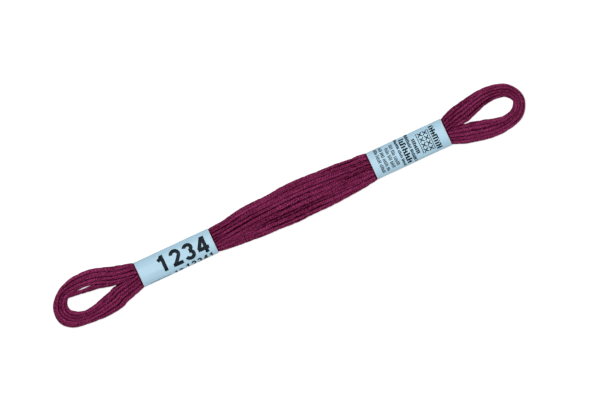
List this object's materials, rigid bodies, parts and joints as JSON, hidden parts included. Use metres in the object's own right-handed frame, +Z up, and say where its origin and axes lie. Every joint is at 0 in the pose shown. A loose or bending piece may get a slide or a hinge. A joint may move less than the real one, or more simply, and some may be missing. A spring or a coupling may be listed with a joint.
{
  "type": "skein of embroidery floss",
  "caption": "Small skein of plum stranded embroidery floss, wound in a long flat ring with an open loop at each end and held by pale blue paper bands.",
  "frame": {"origin": "on the surface, below the middle of the skein's length and width", "axes": "+X along the skein from the number band to the label band, +Z up from the surface"},
  "size_m": [0.1748, 0.0174, 0.0068],
  "materials": {
    "floss": "soft mercerised cotton, plum, dark in the grooves between the passes",
    "paper": "smooth uncoated paper, pale blue",
    "ink": "flat near black printing ink, laid on the paper bands"
  },
  "bodies": {
    "root": {"hank": "floss", "number_band": "paper", "label_band": "paper"}
  },
  "joints": []
}
